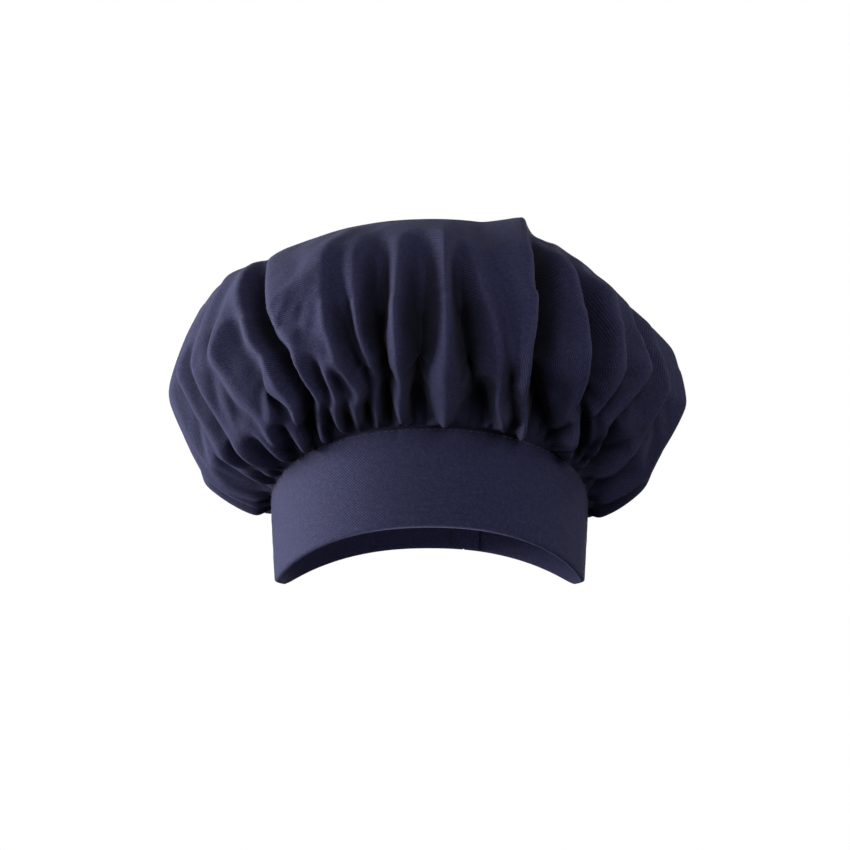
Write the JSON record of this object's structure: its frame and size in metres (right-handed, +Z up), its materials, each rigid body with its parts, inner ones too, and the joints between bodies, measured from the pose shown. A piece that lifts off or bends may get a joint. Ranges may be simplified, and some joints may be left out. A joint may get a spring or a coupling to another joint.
{
  "type": "chef toque",
  "caption": "Cloth chef's hat: a wide puffed crown gathered onto a folded headband, with a hook-and-loop tab at the back that peels open to set the head size.",
  "frame": {"origin": "middle of the head opening, level with the lowest stretches of the band's rim, above the ears", "axes": "+Z up through the top of the crown, -Y towards the front of the hat, +X towards the wearer's left"},
  "size_m": [0.2966, 0.2871, 0.2053],
  "materials": {
    "twill": "matt polycotton twill, navy",
    "sewing_thread": "spun polyester thread, navy",
    "fastener_tape": "woven hook-and-loop tape, navy",
    "interfacing": "stiff non-woven, off-white",
    "label_satin": "satin ribbon, white, blank"
  },
  "bodies": {
    "hat": {"crown": "twill", "headband": "twill", "crown_slit_facing": "twill", "closure_tab_root": "twill", "band_underlap": "twill", "band_interfacing": "interfacing", "loop_tape": "fastener_tape", "topstitch_thread": "sewing_thread", "topstitch_bobbin_thread": "sewing_thread", "gathering_thread": "sewing_thread", "loop_tape_stitch": "sewing_thread", "tab_root_stitch": "sewing_thread", "underlap_stitch": "sewing_thread", "slit_bartack": "sewing_thread", "care_label_stitch": "sewing_thread"},
    "tab": {"closure_tab": "twill", "hook_tape": "fastener_tape", "hook_tape_stitch": "sewing_thread", "tab_edge_stitch": "sewing_thread"},
    "label": {"care_label": "label_satin"}
  },
  "joints": [
    {"name": "closure_tab_peel", "type": "hinge", "parent": "hat", "child": "tab", "pos_m": [0.02908, 0.09717, 0.04975], "axis": [-0.0158, -0.053, -0.9985], "range_deg": [0, 120]},
    {"name": "care_label_flap", "type": "hinge", "parent": "hat", "child": "label", "pos_m": [0, 0.09221, 0.071], "axis": [-1, 0, 0], "range_deg": [0, 80]}
  ]
}
